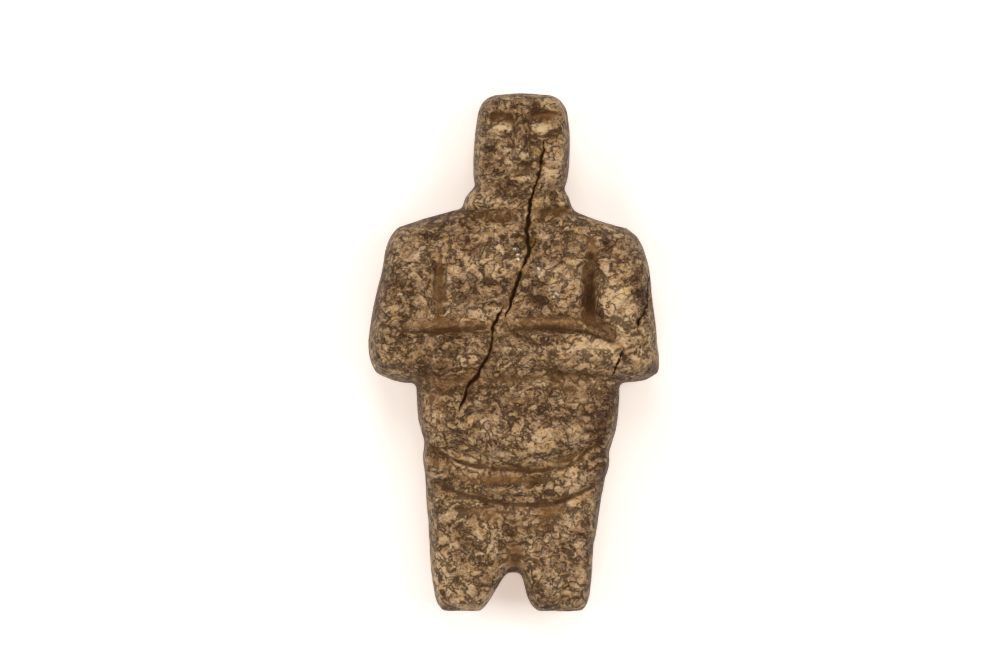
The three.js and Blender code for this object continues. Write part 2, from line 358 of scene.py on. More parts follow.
# The lines of the arms, the forearms, the belly, the hips, the legs and the shoulders
CARVING: Strokes = (
    Stroke(((-36.6, 52), (-37, 36), (-37.6, 16)), 2.2, 1.1),
    Stroke(((-34.2, 47), (-34.4, 34), (-35, 17)), 0.8, 1.1),
    Stroke(((-39.6, 46), (-39.8, 34), (-40.2, 18)), 0.8, 0.9),
    Stroke(((38.5, 52), (38.6, 40), (38, 26), (38.6, 18), (44, 12), (54, 4)), 2.2, 1.4),
    Stroke(((37.8, 41), (38, 30), (38.6, 17)), 1.7, 1.6),
    Stroke(((-60, 12.5), (-40, 12.5), (-26, 13.5), (-9, 14.5)), 2.4, 1.0),
    Stroke(((-60, 10.8), (-40, 10.4), (-25.7, 11.4), (-10, 12.2)), 1.15, 1.5),
    Stroke(((-5, 12.5), (6, 14.5), (18, 15.5), (30, 14), (40, 13)), 2.8, 1.3),
    Stroke(((-5.5, 10.8), (3, 11.6), (17, 12), (31.7, 10.5), (43.3, 7.8), (54.4, 3.2)), 1.15, 1.7),
    Stroke(((-66, -13.8), (-50, -12.6), (-42, -11), (-27, -9), (-18, -11.4)), 1.2, 0.9),
    Stroke(((16, -10.6), (34, -11.8), (46, -12.8), (59, -14)), 1.2, 0.9),
    Stroke(((-35.4, -32), (-36, -40), (-32, -48), (-25, -53.6)), 0.9, 0.8),
    Stroke(
        (
            (-47, -42), (-42, -47), (-34, -52.4), (-23, -56.6), (-9, -59), (8, -60), (18, -59),
            (28, -56),
        ),
        1.15, 1.5,
    ),
    Stroke(((20, -60.6), (30, -56), (37, -50), (47, -44)), 1.1, 1.4),
    Stroke(((20, -57.4), (29, -53), (33, -47), (34.4, -40)), 0.8, 0.6),
    Stroke(((-40, -56), (-30, -60.4), (-14, -64.4), (8, -66), (22, -63.6)), 2.8, 1.1),
    Stroke(((-46, -61), (-36, -66)), 1.0, 0.6),
    Stroke(
        (
            (-44, -64.5), (-38, -67), (-30, -70.4), (-20, -73.6), (-4, -76.6), (8, -77), (22, -76),
            (33, -71.4), (43, -66), (46, -62.5),
        ),
        1.2, 1.8,
    ),
    Stroke(((-5.5, -86.7), (1, -88), (13.5, -88.5), (18, -86)), 1.0, 0.9),
    Stroke(((-40, -98), (-24, -97), (-14, -99)), 1.1, 0.6),
    Stroke(((14, -98), (26, -93), (33, -92)), 1.1, 0.6),
    Stroke(((1, -101), (0, -112)), 4.5, 1.6),
    Stroke(((-35, 58.6), (-18, 62.8), (-8, 60.8)), 1.2, 0.7),
    Stroke(((10, 57), (20, 55), (32, 51.6), (37.8, 45)), 1.2, 0.7),
    Stroke(((-34.5, 19), (-25.6, 16.4), (-10, 17)), 1.2, 0.5),
    Stroke(((15, 18), (28, 16.8), (33, 20)), 1.2, 0.5),
    Stroke(((-56, 52), (-48, 57), (-38, 60)), 0.9, 0.6),
)

# The neck between the jaw and the chest, with a knob on each side
COLLAR: Strokes = (
    Stroke(((-17, 79), (-8, 79.8), (3, 79.2), (14, 79.6), (23, 79)), 1.0, 0.7),
    Stroke(((-27, 70.6), (-14, 70.6), (0, 70), (14, 69.6), (30, 70.4)), 1.9, 1.3),
    Stroke(((15, 71.6), (24, 71.4), (33, 69.5)), 2.6, 0.9),
    Stroke(((-18.8, 80.6), (-18.4, 76), (-19.4, 71.6)), 0.8, 0.8),
    Stroke(((21.6, 79.6), (21.4, 75.6), (22.4, 71.6)), 0.8, 0.7),
    Stroke(((-21.8, 77.6), (-22.2, 75)), 2.3, -1.8, Cut.HOLLOW),
    Stroke(((25.2, 76.6), (25.6, 75)), 2.1, -1.6, Cut.HOLLOW),
    Stroke(((-12, 75.2), (-5, 75)), 2.0, -0.5, Cut.HOLLOW),
)

# Brow, lids, eyes, nose, mouth, chin and cheeks
FACE: Strokes = (
    Stroke(((-12.8, 119.6), (-6, 120), (0.6, 118.4)), 1.2, 1.4),
    Stroke(((-12, 117.6), (-6, 117.8), (0, 116.8)), 1.6, 0.9),
    Stroke(((7.6, 118.4), (13.4, 120.6), (21, 120.4), (25.4, 118)), 1.1, 1.5),
    Stroke(((8.6, 117.6), (14, 118.4), (20, 118.4), (24, 116.8)), 1.7, 1.0),
    Stroke(((-9.6, 112.8), (-3.6, 112.8)), 2.4, -1.2, Cut.HOLLOW),
    Stroke(((12.4, 112.4), (16, 112.2)), 2.7, -1.3, Cut.HOLLOW),
    Stroke(((-11.6, 109.6), (-6, 108.9), (-0.8, 109.6)), 1.0, 0.9),
    Stroke(((9, 109.2), (14, 108.2), (18.5, 109.8), (25.6, 113.2)), 1.1, 1.3),
    Stroke(((-0.2, 118.4), (-0.4, 108), (-0.9, 100), (-2, 96.6)), 0.9, 0.9),
    Stroke(((8.1, 119), (8.1, 108), (8.3, 101.6), (10.8, 98.2)), 0.9, 1.0),
    Stroke(((3, 99), (6, 98.6)), 3.0, -1.3, Cut.HOLLOW),
    Stroke(((-1.8, 95.2), (4, 94.3), (9.8, 93.8)), 1.0, 1.2),
    Stroke(((-2, 91.3), (4, 90.7), (12, 91.2)), 0.9, 0.8),
    Stroke(((1.5, 87.2), (8, 87.2)), 2.0, -0.6, Cut.HOLLOW),
    Stroke(((-2, 84.2), (4, 83.6), (10, 84.4)), 1.0, 0.5),
    Stroke(((-15.2, 123), (-15.9, 108), (-15.8, 95), (-15.2, 82)), 0.9, 0.7),
    Stroke(((26, 122), (26.6, 108), (26.5, 95), (25.6, 82)), 0.9, 0.7),
    Stroke(((-11, 88), (-6, 96), (-4.4, 101)), 1.1, 0.5),
    Stroke(((13, 97), (17.5, 93.4), (24, 93.6)), 1.0, 0.5),
)

CRACKS = MAIN_CRACK + SHORT_CRACKS
TOOLED = CARVING + COLLAR + FACE + CHIPS


@dataclass(frozen=True)
class Stain:
    """A soft-edged area of the front that raises a mask, or lowers it at a strength below 0."""

    across: float
    along: float
    width: float
    length: float
    strength: float

    def spread(self, places: np.ndarray) -> np.ndarray:
        """Say what the stain adds at each place."""
        away = (places - (self.across, self.along)) / (self.width, self.length)
        return self.strength * np.exp(-(away ** 2).sum(axis=1))


Stains = tuple[Stain, ...]


def spread(stains: Stains, places: np.ndarray) -> np.ndarray:
    """Add up what some stains give each place."""
    return sum(stain.spread(places) for stain in stains)


# Where the front is paler, or darker at a strength below 0, with the painted light and shade among
# them marked
STAINS: Stains = (
    Stain(55, 26, 9.5, 15, 1.15),
    Stain(42, 3, 20, 7, 1.1),
    Stain(-40, 0, 22, 8, -0.4),
    Stain(0, -34, 32, 12, -0.35),
    Stain(-6, -66, 30, 4, -0.7),
    Stain(50, 58, 12, 8, 0.3),
    Stain(46.3, 54.8, 2.4, 4, -1.6),
    Stain(59.4, 35.8, 4.4, 3.4, -1.5),
    Stain(62.4, 29, 3.4, 2.2, -1.8),
    Stain(53.2, 20.2, 2.8, 2.2, -1.8),
    Stain(44.6, 18.4, 2.4, 2.4, -1.5),
    Stain(55.8, -3.2, 2.4, 2.8, -1.8),
    Stain(38, -5, 5, 1.4, -1.0),
    Stain(-55, 58, 8, 5, 0.3),
    Stain(-46, 57.5, 8, 3.6, -1.0),
    Stain(-62, 30, 10, 20, -0.3),
    Stain(-38, 8, 20, 6, -0.3),
    Stain(8, 8, 26, 6, -0.3),
    Stain(-28, -18, 12, 8, -0.5),
    Stain(-6.8, 112.9, 5.2, 2.3, 1.9),
    Stain(14.2, 112.3, 4.4, 2.8, 1.9),
    Stain(4.4, 98.8, 3.4, 2.2, 1.3),
    Stain(4.8, 87, 4.5, 1.5, 1.0),
    Stain(20.6, 123.7, 4, 3, 0.8),
    Stain(-13.8, 88, 3.5, 2.6, 0.9),
    Stain(19, 98, 4, 3, 0.9),
    Stain(19, 89.4, 4, 3, 0.8),
    Stain(-8.9, 75.4, 6.5, 1.8, 1.0),
    Stain(25.2, 75.8, 2.4, 2.8, 1.1),
    Stain(-21.8, 76.2, 2.4, 3.4, 1.1),
    Stain(-13.4, 100, 2.6, 10, -0.6),
    Stain(-6.4, 83.7, 5, 4, -0.8),
    Stain(10.5, 124.4, 2.5, 4, -0.7),
    # Painted shade under the brows
    Stain(-7, 119.2, 6, 1.8, -0.9),
    Stain(16, 119.2, 7, 1.8, -0.9),
    # Painted light on the left side of the head
    Stain(-20, 102, 3, 16, 0.8),
    Stain(22, 72, 10, 8, -0.4),
    Stain(-9, 46, 8, 8, 0.4),
    Stain(-18, 34, 14, 16, 0.3),
    Stain(11, 27, 6, 9, -0.8),
    Stain(-4, 31, 4, 7, -0.6),
    Stain(11, -45, 14, 5, 0.9),
    Stain(-2, -55, 26, 2.4, 0.6),
    Stain(31, -66, 8, 5, 0.6),
    Stain(-34, -62, 10, 3, 0.4),
    Stain(34, -48, 5, 9, 0.4),
    Stain(48, -30, 7, 16, -0.6),
    Stain(46, -80, 6, 40, -0.6),
    Stain(30, -84, 9, 10, 0.5),
    Stain(-26, -118, 14, 10, 0.7),
    Stain(26, -115, 10, 8, 0.6),
    Stain(-40, -100, 5, 25, 0.3),
)

# Where the golden brown patina lies; under the brows and beside the nose it is patina and painted
# shade
PATINA: Stains = (
    Stain(-37.3, 32, 2.8, 22, 1.0),
    Stain(39.6, 52, 3.6, 9, 0.8),
    Stain(38.4, 28, 3.7, 15, 0.95),
    Stain(48, 9, 7, 4, 0.7),
    Stain(-36, 13.5, 26, 3, 0.9),
    Stain(18, 15, 28, 4, 0.8),
    Stain(-6, 70.6, 24, 1.8, 0.6),
    Stain(24.5, 71, 8, 2.6, 0.8),
    Stain(-38, -24, 8, 12, 0.6),
    Stain(-22, -14, 16, 4, 0.6),
    Stain(30, -16, 26, 4, 0.6),
    Stain(-6, -64.3, 30, 3.8, 0.75),
    Stain(-12, -84, 9, 5, 0.5),
    Stain(17, -83, 7, 4, 0.5),
    Stain(-36, -56, 8, 3, 0.6),
    Stain(-20, -80, 26, 3, 0.5),
    Stain(22, -79, 18, 3, 0.5),
    Stain(-44, -52, 6, 8, 0.4),
    Stain(10, -90, 16, 5, 0.5),
    Stain(0, -104, 6, 9, 0.95),
    Stain(4, 106, 2, 10, 0.2),
    # Patina and painted shade under the brows and beside the nose
    Stain(-7, 119, 7, 2.2, 0.9),
    Stain(16, 118.8, 9, 2.2, 0.9),
    Stain(8.2, 108, 1.4, 11, 0.6),
    Stain(-0.4, 108, 1.4, 11, 0.6),
    Stain(-7, 64.5, 4, 3, 0.6),
    Stain(-22, 76, 2, 3, 0.4),
    Stain(25.4, 75.8, 2, 2.4, 0.4),
)

# Painted shade, where the deepest places are darker still
SHADES: Stains = (
    Stain(38.8, 48, 1.6, 2.4, 0.7),
    Stain(38, 27, 3.1, 11, 1.4),
    Stain(38.8, 42, 2.4, 7, 0.45),
    Stain(-37.3, 31, 2.2, 18, 0.7),
    Stain(23.6, 67.6, 5, 2.6, 0.6),
    Stain(13.6, 95.8, 1.1, 1.1, 1.0),
    Stain(12.2, 89.4, 1.3, 1.3, 1.0),
    Stain(63, 15.4, 1.8, 2.2, 1.3),
    Stain(55.6, -3.2, 1.7, 2.0, 0.8),
    Stain(47, 10, 5, 2, 0.5),
    Stain(20, 13.4, 12, 1.6, 0.5),
    Stain(0, -112, 5, 3, 0.6),
)

# The painted glints: place across and along, and size
GLINTS: tuple[Triple, ...] = (
    (0.4, 52, 1.6), (1.8, 49, 1.8), (2.2, 46.6, 1.5), (12.4, 42, 1.7), (14.4, 39.4, 1.4),
    (12.6, 38, 1.2), (21.4, 29.4, 1.9), (23.4, 31.4, 1.4), (20, 27.6, 1.3), (26.6, 33.5, 1.0),
    (-12, 40, 0.7), (-20, 21, 0.8),
)


@dataclass(frozen=True)
class Wear:
    """The worn and pecked surface of the stone, in millimetres.

    The wear is a broad swell and the pecking. The pecking is ridges with grit on them, and is
    fainter at the sides.
    """

    swell: Ripple = Ripple(16.0, 3.0)
    swell_height: float = 0.45
    ridges: Ripple = Ripple(7.0, 5.0)
    ridge_height: float = 0.5
    ridge_level: float = 0.4
    ridge_steepness: float = 2.2
    ridge_squeeze: Triple = (0.9, 1.1, 1.0)
    grit: Ripple = Ripple(3.2, 8.0)
    grit_height: float = 0.15
    side_share: float = 0.2
    lost: float = 0.28
    bed: float = 3.0

    def outward(self, places: np.ndarray, facing: np.ndarray) -> np.ndarray:
        """Say how far the surface stands out from the smooth form.

        Args:
            places: Places in millimetres, one row each.
            facing: How much each place faces the camera, 0 to 1.

        Returns:
            The distance at each place, 0 on the bed that the figure lies on.
        """
        ridges = self.ridge_level - self.ridge_steepness * np.abs(
            self.ridges.read(places * self.ridge_squeeze)
        )
        pecked = self.ridge_height * ridges + self.grit_height * self.grit.read(places)
        pecked *= self.side_share + (1 - self.side_share) * facing
        worn = self.swell_height * self.swell.read(places) + pecked - self.lost
        return worn * smoothstep(places[:, 2], 0.0, self.bed)


@dataclass
class CarvedStone:
    """The whole figure, one stone: the solid's form with the fine carving and wear cut in.

    The merging distance and the voxel are in metres, and the other lengths in millimetres.
    """

    node: str = "figure"
    name: str = "carved_stone"
    merged: float = 0.001 * MM
    voxel: float = 1.18 * MM
    soften_factor: float = 0.5
    soften_rounds: int = 7
    fine_mesh: tuple[float, float] = (4.2, 2.1)
    front_level: float = 24.0
    front_slope: float = 4.0
    line_width: float = 1.6
    facing: tuple[float, float] = (0.15, 0.6)
    in_sight: tuple[float, float] = (-0.1, 0.25)
    stained: tuple[float, float] = (6.0, 22.0)
    full_crack: float = 2.4
    full_line: float = 1.5
    crack_browning: float = 0.75
    browned_width: float = 1.9
    closed_width: float = 2.6
    closing_rounds: int = 60
    near_rounds: int = 12
    near_depth: float = 0.5
    wide_rounds: int = 90
    wide_depth: float = 2.0

    def build(self) -> Object:
        """Make the stone from a copy of the solid.

        Returns:
            The finished piece.
        """
        piece = self.copy_of_solid()
        self.even_out(piece)
        for near in self.fine_mesh:
            self.refine(piece, near)
        self.close_cracks(piece.data)
        self.carve(piece.data)
        self.mark_hollows(piece.data)
        only(piece)
        bpy.ops.object.shade_smooth()
        return piece

    def copy_of_solid(self) -> Object:
        """Copy the solid and merge its loose triangles.

        Returns:
            The copy, with a mesh of its own.
        """
        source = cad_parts[self.node]
        piece = source.copy()
        piece.data = source.data.copy()
        piece.name = piece.data.name = self.name
        piece.parent = None
        bpy.context.scene.collection.objects.link(piece)
        only(piece)
        bpy.ops.object.mode_set(mode="EDIT")
        bpy.ops.mesh.select_all(action="SELECT")
        bpy.ops.mesh.remove_doubles(threshold=self.merged)
        bpy.ops.object.mode_set(mode="OBJECT")
        return piece

    def even_out(self, piece: Object) -> None:
        """Lay an even mesh over the form and wear its facets away.

        Args:
            piece: The copied solid.
        """
        only(piece)
        remesh = piece.modifiers.new("even mesh", "REMESH")
        remesh.mode = "VOXEL"
        remesh.voxel_size = self.voxel
        bpy.ops.object.modifier_apply(modifier=remesh.name)
        soften = piece.modifiers.new("worn facets", "SMOOTH")
        soften.factor = self.soften_factor
        soften.iterations = self.soften_rounds
        bpy.ops.object.modifier_apply(modifier=soften.name)

    def refine(self, piece: Object, near: float) -> None:
        """Divide the front faces that lie close to the cracks.

        Args:
            piece: The stone.
            near: How far from a crack a face is still divided.
        """
        mesh = piece.data
        centres = read_rows(mesh.polygons, "center") / MM
        seen = as_seen(centres)
        wanted = np.zeros(len(centres), dtype=bool)
        for stroke in CRACKS:
            box = stroke.around(seen, near) & (centres[:, 2] > self.front_level)
            wanted[np.flatnonzero(box)[stroke.apart(seen[box]) < near]] = True
        only(piece)
        bpy.ops.object.mode_set(mode="EDIT")
        bpy.ops.mesh.select_mode(type="FACE")
        bpy.ops.mesh.select_all(action="DESELECT")
        bpy.ops.object.mode_set(mode="OBJECT")
        mesh.polygons.foreach_set("select", wanted)
        bpy.ops.object.mode_set(mode="EDIT")
        bpy.ops.mesh.subdivide(number_cuts=1)
        bpy.ops.object.mode_set(mode="OBJECT")

    def close_cracks(self, mesh: Mesh) -> None:
        """Level the blurred cracks of the solid, so that the finer ones can be cut in their place.

        Args:
            mesh: The stone's mesh.
        """
        places = read_places(mesh)
        near = beside(CRACKS, as_seen(places), self.closed_width)
        near *= smoothstep(places[:, 2], self.front_level - self.front_slope, self.front_level)
        level = averaged(mesh, places, self.closing_rounds)
        write_places(mesh, places + (level - places) * near[:, None])

    def carve(self, mesh: Mesh) -> None:
        """Cut the fine carving, the cracks and the worn, pecked surface, and mark what they are,
        with painted shade along the narrow grooves.

        Args:
            mesh: The stone's mesh.
        """
        places = read_places(mesh)
        outward = read_rows(mesh.vertex_normals, "vector")
        seen = as_seen(places)
        front = places[:, 2] > self.front_level
        facing = smoothstep(outward[:, 2], *self.facing) * front
        depth = np.zeros(len(places))
        groove_shade = np.zeros(len(places))
        # Strokes no wider than the line width leave painted shade as deep as they are cut
        for stroke in TOOLED:
            dug = stroke.dig(seen)
            depth += dug
            if stroke.width <= self.line_width:
                groove_shade += np.maximum(dug, 0)
        cracked = np.maximum.reduce([stroke.dig(seen) for stroke in CRACKS])
        cracked *= smoothstep(outward[:, 2], *self.in_sight) * front
        moved = places + outward * Wear().outward(places, facing)[:, None]
        moved[:, 2] -= depth * facing + cracked
        write_places(mesh, moved)
        store(mesh, Mark.CRACK, np.clip(cracked / self.full_crack, 0, 1))
        store(mesh, Mark.PALE, spread(STAINS, seen) * smoothstep(places[:, 2], *self.stained))
        shaded = groove_shade / self.full_line + spread(SHADES, seen)
        store(mesh, Mark.SHADE, np.clip(shaded, 0, 2) * facing)
        beside_crack = self.crack_browning * beside(MAIN_CRACK, seen, self.browned_width)
        browned = np.maximum(spread(PATINA, seen), beside_crack)
        store(mesh, Mark.BROWN, np.clip(browned, 0, 1) * facing)
        # Painted glints: white spots round the listed places on the front
        glint_spots = np.maximum.reduce([
            np.exp(-((np.linalg.norm(seen - (across, along), axis=1) / size) ** 2))
            for across, along, size in GLINTS
        ])
        store(mesh, Mark.GLINT, glint_spots * facing)
        log.info("carved %d strokes into %d points", len(TOOLED), len(places))

    def mark_hollows(self, mesh: Mesh) -> None:
        """Measure how hollow or proud each place is, for the patina, the painted shade in the
        creases and the polish.

        Args:
            mesh: The stone's mesh.
        """
        places = read_places(mesh)
        outward = read_rows(mesh.vertex_normals, "vector")
        for mark, rounds, full in (
            (Mark.NEAR, self.near_rounds, self.near_depth),
            (Mark.WIDE, self.wide_rounds, self.wide_depth),
        ):
            sunk = np.einsum("ij,ij->i", averaged(mesh, places, rounds) - places, outward)
            store(mesh, mark, np.clip(sunk / full, -1, 1) * 0.5 + 0.5)


def read_rows(items: bpy.types.bpy_prop_collection, name: str) -> np.ndarray:
    """Read three numbers of each item of a mesh.

    Args:
        items: The mesh's points, faces or normals.
        name: What to read of them.

    Returns:
        The numbers, one row for each item.
    """
    flat = np.empty(len(items) * 3)
    items.foreach_get(name, flat)
    return flat.reshape(-1, 3)


def read_places(mesh: Mesh) -> np.ndarray:
    """Read a mesh's points in millimetres."""
    return read_rows(mesh.vertices, "co") / MM


def write_places(mesh: Mesh, places: np.ndarray) -> None:
    """Set a mesh's points from millimetres."""
    mesh.vertices.foreach_set("co", (places * MM).ravel())
    mesh.update()


def store(mesh: Mesh, mark: Mark, values: np.ndarray) -> None:
    """Keep a mask's number for each point of a mesh."""
    layer = mesh.attributes.new(mark.value, "FLOAT", "POINT")
    layer.data.foreach_set("value", values.astype(np.float32))


def averaged(mesh: Mesh, places: np.ndarray, rounds: int) -> np.ndarray:
    """Average each point with its neighbours again and again.

    Args:
        mesh: The mesh whose edges join the points.
        places: The points.
        rounds: How many times.

    Returns:
        The averaged points.
    """
    ends = np.empty(len(mesh.edges) * 2, dtype=np.int64)
    mesh.edges.foreach_get("vertices", ends)
    first, second = ends.reshape(-1, 2).T
    count = len(places)
    shares = np.bincount(first, minlength=count) + np.bincount(second, minlength=count)
    result = places.copy()
    for _ in range(rounds):
        total = np.empty_like(result)
        for axis in range(3):
            total[:, axis] = (
                np.bincount(first, weights=result[second, axis], minlength=count)
                + np.bincount(second, weights=result[first, axis], minlength=count)
            )
        result = KEPT * result + (1 - KEPT) * total / shares[:, None]
    return result


class Waves(NamedTuple):
    """Shader noise: how many waves to a millimetre, how many octaves, and how rough."""

    per_mm: float
    detail: float
    rough: float = 0.5


class Edge(NamedTuple):
    """The levels at which a mask starts and is whole, and how much noise frays it."""

    low: float
    high: float
    frayed: float = 0.0


class Vein(NamedTuple):
    """Winding lines, the thickness of each, and the noise and levels that break them up."""

    path: Waves
    line: Edge
    broken: Waves
    gaps: Edge


def new_material(name: str) -> tuple[Material, Node]:
    """Start a material.

    Args:
        name: The material's name.

    Returns:
        The material, and the output node that is alone in it.
    """
    material = bpy.data.materials.new(name)
    material.use_nodes = True
    material.node_tree.nodes.clear()
    return material, material.node_tree.nodes.new("ShaderNodeOutputMaterial")


def new_group(name: str, tones: tuple[str, ...], marks: tuple[Mark, ...], measure: str) -> NodeTree:
    """Start a shader group that turns a place, colours and masks into a colour and a measure.

    Args:
        name: The group's name.
        tones: The names of the colours.
        marks: The masks.
        measure: The measure's name.

    Returns:
        The group.
    """
    group = bpy.data.node_groups.new(name, "ShaderNodeTree")
    sockets = [("Place", "INPUT", "NodeSocketVector"), ("Color", "OUTPUT", "NodeSocketColor")]
    sockets += [(tone, "INPUT", "NodeSocketColor") for tone in tones]
    sockets += [(mark.value, "INPUT", "NodeSocketFloat") for mark in marks]
    for label, side, kind in (*sockets, (measure, "OUTPUT", "NodeSocketFloat")):
        group.interface.new_socket(label, in_out=side, socket_type=kind)
    return group


@dataclass
class Bench:
    """Adds nodes to one group, joined up as they come."""

    group: NodeTree

    def __post_init__(self) -> None:
        """Open the group for work."""
        self.given = self.group.nodes.new("NodeGroupInput").outputs
        self.results = self.group.nodes.new("NodeGroupOutput").inputs

    def add(self, kind: str, values: dict[Union[int, str], Value], **settings: str) -> Node:
        """Add a node.

        Args:
            kind: The node's type.
            values: What its sockets take, by their numbers or names: a value or another socket.
            settings: Its own settings.

        Returns:
            The node.
        """
        node = self.group.nodes.new(kind)
        for name, setting in settings.items():
            setattr(node, name, setting)
        for label, value in values.items():
            if isinstance(value, NodeSocket):
                self.group.links.new(value, node.inputs[label])
            else:
                node.inputs[label].default_value = value
        return node

    def give(self, **results: NodeSocket) -> None:
        """Put out the group's results."""
        for label, result in results.items():
            self.group.links.new(result, self.results[label])

    def math(self, operation: str, *parts: Value) -> NodeSocket:
        """Work out a number."""
        return self.add("ShaderNodeMath", dict(enumerate(parts)), operation=operation).outputs[0]

    def vector(self, operation: str, *parts: Value) -> NodeSocket:
        """Work out a vector."""
        node = self.add("ShaderNodeVectorMath", dict(enumerate(parts)), operation=operation)
        return node.outputs[0]

    def times(self, first: Value, second: Value) -> NodeSocket:
        """Multiply two numbers."""
        return self.math("MULTIPLY", first, second)

    def rest(self, share: Value) -> NodeSocket:
        """Give what a share leaves of 1."""
        return self.math("SUBTRACT", 1.0, share)

    def weigh(self, *parts: tuple[Value, float]) -> NodeSocket:
        """Add values up, each times its weight.

        Args:
            parts: The values with their weights.

        Returns:
            The sum.
        """
        total: Value = 0.0
        for value, weight in parts:
            total = self.math("MULTIPLY_ADD", value, weight, total)
        return total

    def texture(self, place: Value, waves: Waves) -> Node:
        """Add noise."""
        like = {"Scale": waves.per_mm / MM, "Detail": waves.detail, "Roughness": waves.rough}
        return self.add("ShaderNodeTexNoise", {"Vector": place, **like})

    def noise(self, place: Value, waves: Waves) -> NodeSocket:
        """Add noise and give its value."""
        return self.texture(place, waves).outputs["Fac"]

    def span(self, value: Value, edge: Edge) -> NodeSocket:
        """Stretch the levels of an edge over 0 to 1, softly and clamped.

        Args:
            value: The value to stretch.
            edge: The levels that give 0 and 1.

        Returns:
            The stretched value.
        """
        levels = {"Value": value, "From Min": edge.low, "From Max": edge.high}
        node = self.add("ShaderNodeMapRange", levels, interpolation_type="SMOOTHSTEP")
        return node.outputs["Result"]

    def fray(self, mask: Value, ragged: Value, edge: Edge) -> NodeSocket:
        """Cut a mask off along an edge that noise frays."""
        return self.span(self.weigh((mask, 1.0), (ragged, edge.frayed)), edge)

    def blend(self, share: Value, first: Value, second: Value, mode: str = "MIX") -> NodeSocket:
        """Mix a share of the second colour into the first one."""
        parts = {0: share, 6: first, 7: second}
        return self.add("ShaderNodeMix", parts, data_type="RGBA", blend_type=mode).outputs[2]

    def ramp(self, level: Value, stops: tuple[tuple[float, Value], ...]) -> NodeSocket:
        """Run through colours as a level rises.

        Args:
            level: The level.
            stops: The levels at which each colour is whole, from the lowest.

        Returns:
            The colour.
        """
        low, tone = stops[0]
        for high, colour in stops[1:]:
            tone = self.blend(self.span(level, Edge(low, high)), tone, colour)
            low = high
        return tone

    def cells(self, place: Value, per_mm: float) -> tuple[NodeSocket, NodeSocket]:
        """Add grains.

        Args:
            place: The place to read.
            per_mm: How many grains lie along a millimetre.

        Returns:
            A value of its own for each grain, and how far the place is from the grain's middle.
        """
        grains = self.add("ShaderNodeTexVoronoi", {"Vector": place, "Scale": per_mm / MM})
        apart = self.add("ShaderNodeSeparateColor", {0: grains.outputs["Color"]})
        return apart.outputs[0], grains.outputs["Distance"]

    def crease(self, place: Value, path: Waves, line: Edge) -> NodeSocket:
        """Add thin winding lines where noise crosses its middle."""
        apart = self.math("ABSOLUTE", self.math("SUBTRACT", self.noise(place, path), 0.5))
        return self.rest(self.span(apart, line))

    def warp(self, place: Value, waves: Waves, by: float) -> NodeSocket:
        """Push places about.

        Args:
            place: The place to push.
            waves: The noise that pushes.
            by: The greatest push.

        Returns:
            The pushed place.
        """
        wobble = self.texture(place, waves).outputs["Color"]
        centred = self.vector("SUBTRACT", wobble, (0.5, 0.5, 0.5))
        return self.vector("MULTIPLY_ADD", centred, (by, by, by), place)


GRAIN_TONES = ("Deep", "Dark", "Brown", "Tan", "Cream", "Light", "Rust", "Ash", "Ochre", "Speck")
PATINA_SHADE_GLINT_TONES = ("Patina", "Shadow", "Black", "Mica")
PATINA_SHADE_GLINT_MARKS = tuple(mark for mark in Mark if mark is not Mark.PALE)


